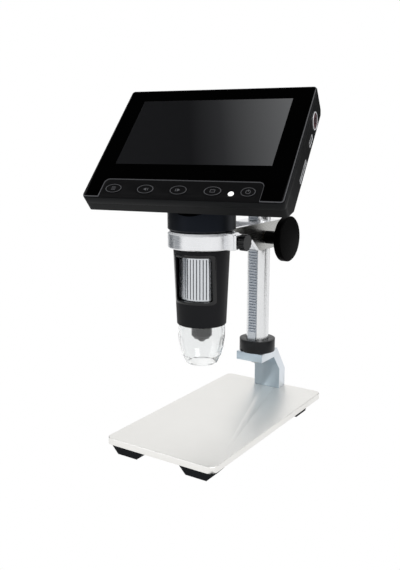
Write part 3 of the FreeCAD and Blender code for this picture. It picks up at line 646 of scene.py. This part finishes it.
def symbol(body, items):
    bpy.ops.object.select_all(action="DESELECT")
    for item in items:
        item.select_set(True)
    bpy.context.view_layer.objects.active = items[0]
    bpy.ops.object.join()
    item = bpy.context.object
    bpy.ops.object.transform_apply(location=True, rotation=True, scale=True)
    item.location = (KEYS[body][0] * MM, KEY_Y * MM, -MARK_SUNK * MM)
    return settle(item, body + "_symbol", "mark_grey", body, DISPLAY)


print("symbols are", MARK_THICK, "mm thick")

# %% Symbols on the keys
symbol("key_1", [bar(0, dy, 2.6, 0.35) for dy in (-0.9, 0, 0.9)])
symbol("key_2", [triangle(1.2, 90), bar(1.5, 0, 0.35, 1.9)])
symbol("key_3", [triangle(1.2, -90), bar(-1.5, 0, 0.35, 1.9)])
symbol("key_4", [bar(0, dy, 2.8, 0.3) for dy in (-0.9, 0.9)]
       + [bar(dx, 0, 0.3, 2.0) for dx in (-1.3, 1.3)])
symbol("key_power", [circle(1.25, 0.16), bar(0, 0.9, 0.35, 1.5)])
print(len(KEYS), "symbols")

# %% [markdown]
# ## Rims on the right side of the case
# The power socket shows a thin silver ring round a dark reddish throat, and the two ports below it
# have bright lips. The ring is a torus that faces sideways. Each lip starts as a plane, whose
# corners are rounded and whose middle is cut out before it gets a thickness.

# %% Socket ring, throat and port lips
# Satin nickel round the sockets, and dull red plastic inside the jack.
finishes["port_rim"] = surface("port_rim", "DADADC", 0.45, 0.4, grain=0.4)
finishes["throat_red"] = surface("throat_red", "4A2E32", 0.4, grain=0.5, shine=0.4)
SIDE = 59.8                 # where the case's right side is, in mm
JACK_Y, JACK_Z = 21.0, -11.8
RING_PROUD, LIP_PROUD = 0.12, 0.03
# Finish, radius and thickness in mm, and how far the ring is pressed flat.
RINGS = {"jack_ring": ("port_rim", 5.0, 0.26, 0.7), "jack_throat": ("throat_red", 3.2, 1.35, 0.1)}
# Place along and across the side, length and height, in mm.
PORT_LIPS = {"usb_lip": (7.0, -14.2, 8.2, 3.4), "card_lip": (-16.0, -15.4, 16.6, 2.7)}
LIP_WIDTH, LIP_CORNER, LIP_THICK = 0.28, 0.5, 0.2


def side_ring(name, finish, radius, thick, flat):
    bpy.ops.object.select_all(action="DESELECT")
    bpy.ops.mesh.primitive_torus_add(major_radius=radius * MM, minor_radius=thick * MM,
                                     major_segments=64, minor_segments=12,
                                     rotation=(0, math.radians(90), 0))
    item = bpy.context.object
    item.scale.z = flat
    item.location = ((SIDE + RING_PROUD) * MM, JACK_Y * MM, JACK_Z * MM)
    bpy.ops.object.shade_smooth()
    return settle(item, name, finish, "microscope", DISPLAY)


def lip(name, y, z, wide, high):
    bpy.ops.object.select_all(action="DESELECT")
    bpy.ops.mesh.primitive_plane_add(size=1, location=((SIDE + LIP_PROUD) * MM, y * MM, z * MM),
                                     rotation=(0, math.radians(90), 0))
    item = bpy.context.object
    item.scale = (high * MM, wide * MM, 1)
    bpy.ops.object.transform_apply(location=False, rotation=False, scale=True)
    bpy.ops.object.mode_set(mode="EDIT")
    bpy.ops.mesh.select_all(action="SELECT")
    bpy.ops.mesh.bevel(offset=LIP_CORNER * MM, segments=4, affect="VERTICES")
    bpy.ops.mesh.inset(thickness=LIP_WIDTH * MM)
    bpy.ops.mesh.delete(type="FACE")
    bpy.ops.object.mode_set(mode="OBJECT")
    finish_with(item, "SOLIDIFY", thickness=LIP_THICK * MM, offset=0.0)
    return settle(item, name, "port_rim", "microscope", DISPLAY)


for name, looks in RINGS.items():
    side_ring(name, *looks)
for name, sizes in PORT_LIPS.items():
    made = lip(name, *sizes)
    print(name, len(made.data.polygons), "faces")

# %% [markdown]
# ## Status lamp
# A small milky lens stands a little proud of the keypad. It starts as a sphere that is pressed
# flat, and it is the brightest spot on the display.

# %% Lamp lens
LAMP_X, LAMP_Y, LAMP_SUNK = 29.7, -47.8, 0.1
LAMP_RADIUS, LAMP_FLATTEN = 1.45, 0.32
bpy.ops.object.select_all(action="DESELECT")
bpy.ops.mesh.primitive_uv_sphere_add(segments=32, ring_count=16, radius=LAMP_RADIUS * MM)
lens = bpy.context.object
lens.scale = (1.0, 1.0, LAMP_FLATTEN)
lens.location = (LAMP_X * MM, LAMP_Y * MM, -LAMP_SUNK * MM)
bpy.ops.object.shade_smooth()
# Milky polycarbonate with a lamp behind it.
finishes["lamp_white"] = lamp("lamp_white", "FAFAF8", 0.9)
settle(lens, "status_lens", "lamp_white", "microscope", DISPLAY)
print("lamp lens", 2 * LAMP_RADIUS, "mm across")

# %% [markdown]
# ## The frame round the focus window
# A glossy black surround stands a quarter of a millimetre proud of the barrel round each window.
# It follows the taper, so it is cut from a thin cone: a rounded block keeps the part near the
# window, a smaller block opens it, and a cylinder clears the room where the wheel turns.

# %% Window surround
WINDOW_Z = 95.1 * MM
SURROUND_WIDE, SURROUND_HIGH, SURROUND_CORNER = 26.4, 29.6, 2.2
OPENING_WIDE, OPENING_HIGH, OPENING_CORNER = 23.0, 26.2, 1.5
CONE_LOW_R, CONE_TOP_R, CONE_HIGH = 15.80, 17.10, 31
ROOM_RADIUS, ROOM_HIGH, SURROUND_EDGE = 14.65, 60, 0.18
BLOCK_OUT = 14              # how far from the axis the two blocks stand
KEEP_DEEP, WINDOW_DEEP = 20, 30


def block(wide, deep, high, middle, radius):
    """A box whose edges along Y are rounded."""
    bpy.ops.object.select_all(action="DESELECT")
    bpy.ops.mesh.primitive_cube_add(size=1, location=(0, middle * MM, WINDOW_Z))
    item = bpy.context.object
    item.scale = (wide * MM, deep * MM, high * MM)
    bpy.ops.object.transform_apply(location=False, rotation=False, scale=True)
    bpy.ops.object.mode_set(mode="EDIT")
    bpy.ops.mesh.select_mode(type="EDGE")
    bpy.ops.mesh.select_all(action="DESELECT")
    bpy.ops.object.mode_set(mode="OBJECT")
    for edge in item.data.edges:
        a, b = (item.data.vertices[i].co for i in edge.vertices)
        edge.select = abs(a.y - b.y) > 1e-6
    bpy.ops.object.mode_set(mode="EDIT")
    bpy.ops.mesh.bevel(offset=radius * MM, segments=6, affect="EDGES")
    bpy.ops.object.mode_set(mode="OBJECT")
    return item


def surround(name, side):
    bpy.ops.object.select_all(action="DESELECT")
    bpy.ops.mesh.primitive_cone_add(vertices=96, radius1=CONE_LOW_R * MM, radius2=CONE_TOP_R * MM,
                                    depth=CONE_HIGH * MM, location=(0, 0, WINDOW_Z))
    item = bpy.context.object
    keep = block(SURROUND_WIDE, KEEP_DEEP, SURROUND_HIGH, side * BLOCK_OUT, SURROUND_CORNER)
    window = block(OPENING_WIDE, WINDOW_DEEP, OPENING_HIGH, side * BLOCK_OUT, OPENING_CORNER)
    bpy.ops.mesh.primitive_cylinder_add(vertices=96, radius=ROOM_RADIUS * MM, depth=ROOM_HIGH * MM,
                                        location=(0, 0, WINDOW_Z))
    room = bpy.context.object
    for tool, mode in ((keep, "INTERSECT"), (window, "DIFFERENCE"), (room, "DIFFERENCE")):
        finish_with(item, "BOOLEAN", object=tool, operation=mode, solver="EXACT")
        bpy.data.objects.remove(tool, do_unlink=True)
    finish_with(item, "BEVEL", width=SURROUND_EDGE * MM, segments=2, limit_method="ANGLE",
                angle_limit=math.radians(SHARP))
    bpy.ops.object.shade_smooth_by_angle(angle=math.radians(SMOOTH))
    return settle(item, name, "sleeve_black", "microscope", TURN)


for name, side in (("window_surround_front", -1), ("window_surround_rear", 1)):
    made = surround(name, side)
    print(name, len(made.data.polygons), "faces")

# %% [markdown]
# ## Camera
# The camera's place and lens were worked out from the picture's own perspective.

# %% Camera
CAMERA_PLACE = (227.49, -371.62, 174.59)      # mm
CAMERA_DIP, CAMERA_HEADING = 11.59, 33.39     # degrees
CAMERA_LENS, SENSOR_WIDE = 44.46, 36          # mm
camera = bpy.data.objects.new("camera", bpy.data.cameras.new("camera"))
bpy.context.scene.collection.objects.link(camera)
camera.location = [value * MM for value in CAMERA_PLACE]
camera.rotation_euler = (math.radians(90 - CAMERA_DIP), 0, math.radians(CAMERA_HEADING))
camera.data.lens = CAMERA_LENS
camera.data.sensor_width = SENSOR_WIDE
camera.data.clip_start = 0.01
bpy.context.scene.camera = camera
print("lens", CAMERA_LENS, "mm")

# %% [markdown]
# ## Studio
# A large soft light stands to the right, and a weaker one to the left fills the shadows. Both are
# area lights that are aimed at the middle of the object.

# %% Lights
LIGHT_SIZE = 0.6            # metres
LIGHT_TARGET = (0, 0, 0.1)
LIGHTS = {"key_right": ((0.75, -0.35, 0.75), 6.0), "fill_left": ((-0.7, -0.6, 0.45), 2.5)}


def soft_light(name, place, power):
    light = bpy.data.lights.new(name, "AREA")
    light.size = LIGHT_SIZE
    light.energy = power
    item = bpy.data.objects.new(name, light)
    bpy.context.scene.collection.objects.link(item)
    item.location = place
    item.rotation_euler = (Vector(LIGHT_TARGET) - Vector(place)).to_track_quat("-Z", "Y").to_euler()


for name, (place, power) in LIGHTS.items():
    soft_light(name, place, power)
print(len(LIGHTS), "lights")

# %% [markdown]
# ## Dark boards
# A photographer stands dark boards round polished metal and black glass, because both show
# whatever is round them. These boards are seen by reflections alone: they cast no shadow and
# light nothing. All stand upright, apart from the one above.

# %% Boards
# Place and size in metres, turn in degrees, and colour.
BOARDS = {
    "board_left": ((-0.9, -0.35, 0.3), (0.75, 1.6), (0, 90, 0), "505A64"),
    "board_front_left": ((-0.36, -0.28, 0.1), (0.22, 0.22), (90, 0, -52), "646A70"),
    "board_near_left": ((-0.45, -0.02, 0.1), (0.26, 0.22), (90, 0, -90), "5C6064"),
    "board_right": ((0.36, 0.17, 0.11), (0.18, 0.24), (90, 0, 114), "303030"),
    "board_rear": ((0.12, 1.0, 0.22), (0.62, 0.6), (90, 0, 0), "101010"),
    "board_above": ((-0.45, -0.2, 1.2), (0.95, 1.0), (0, 0, 0), "0A0A0A"),
}


def flag(name, place, size, turn, code):
    """A board that only reflections see."""
    bpy.ops.object.select_all(action="DESELECT")
    bpy.ops.mesh.primitive_plane_add(size=1, location=place,
                                     rotation=[math.radians(angle) for angle in turn])
    item = bpy.context.object
    item.scale = (size[0], size[1], 1)
    item.name = name
    board = bpy.data.materials.new(name)
    board.use_nodes = True
    board.node_tree.nodes.clear()
    glow = add(board.node_tree, "ShaderNodeEmission", {"Color": linear(code), "Strength": 1.0})
    end = add(board.node_tree, "ShaderNodeOutputMaterial")
    board.node_tree.links.new(glow.outputs["Emission"], end.inputs["Surface"])
    item.data.materials.append(board)
    item.visible_camera = item.visible_diffuse = item.visible_shadow = item.visible_transmission = False


for name, sizes in BOARDS.items():
    flag(name, *sizes)
print(len(BOARDS), "boards")

# %% [markdown]
# ## White background and pale floor
# The world and the floor share one switch. For the camera, for reflections and through clear
# parts both are plain white. For the light that falls on the object, the world is a soft grey and
# the floor a matte white.

# %% Background and floor
def seen_directly(tree):
    """1 for camera, glossy and transmission rays, and 0 for the others."""
    path = add(tree, "ShaderNodeLightPath")
    seen = add(tree, "ShaderNodeMath", {0: path.outputs["Is Camera Ray"], 1: path.outputs["Is Glossy Ray"]},
               operation="MAXIMUM")
    return add(tree, "ShaderNodeMath", {0: seen.outputs["Value"], 1: path.outputs["Is Transmission Ray"]},
               operation="MAXIMUM").outputs["Value"]


world = bpy.data.worlds.new("studio")
bpy.context.scene.world = world
world.use_nodes = True
tree = world.node_tree
tree.nodes.clear()
shown = seen_directly(tree)
grey = add(tree, "ShaderNodeBackground", {"Color": linear("C8CCD2"), "Strength": 0.8})
white = add(tree, "ShaderNodeBackground", {"Color": (1, 1, 1, 1), "Strength": 1.0})
both = add(tree, "ShaderNodeMixShader", {0: shown, 1: grey.outputs["Background"],
                                         2: white.outputs["Background"]})
out = add(tree, "ShaderNodeOutputWorld")
tree.links.new(both.outputs["Shader"], out.inputs["Surface"])

FLOOR_Z = -8.6              # mm
bpy.ops.object.select_all(action="DESELECT")
bpy.ops.mesh.primitive_plane_add(size=6, location=(0, 0, FLOOR_Z * MM))
floor = bpy.context.object
floor.name = "floor"
mat = bpy.data.materials.new("floor_white")
mat.use_nodes = True
tree = mat.node_tree
tree.nodes.clear()
shown = seen_directly(tree)
matte = add(tree, "ShaderNodeBsdfDiffuse", {"Color": linear("F4F4F4")})
glow = add(tree, "ShaderNodeEmission", {"Color": (1, 1, 1, 1), "Strength": 1.0})
paint = add(tree, "ShaderNodeMixShader", {0: shown, 1: matte.outputs["BSDF"],
                                          2: glow.outputs["Emission"]})
out = add(tree, "ShaderNodeOutputMaterial")
tree.links.new(paint.outputs["Shader"], out.inputs["Surface"])
floor.data.materials.append(mat)

bpy.context.scene.view_settings.view_transform = "Standard"
print("floor at", FLOOR_Z, "mm")
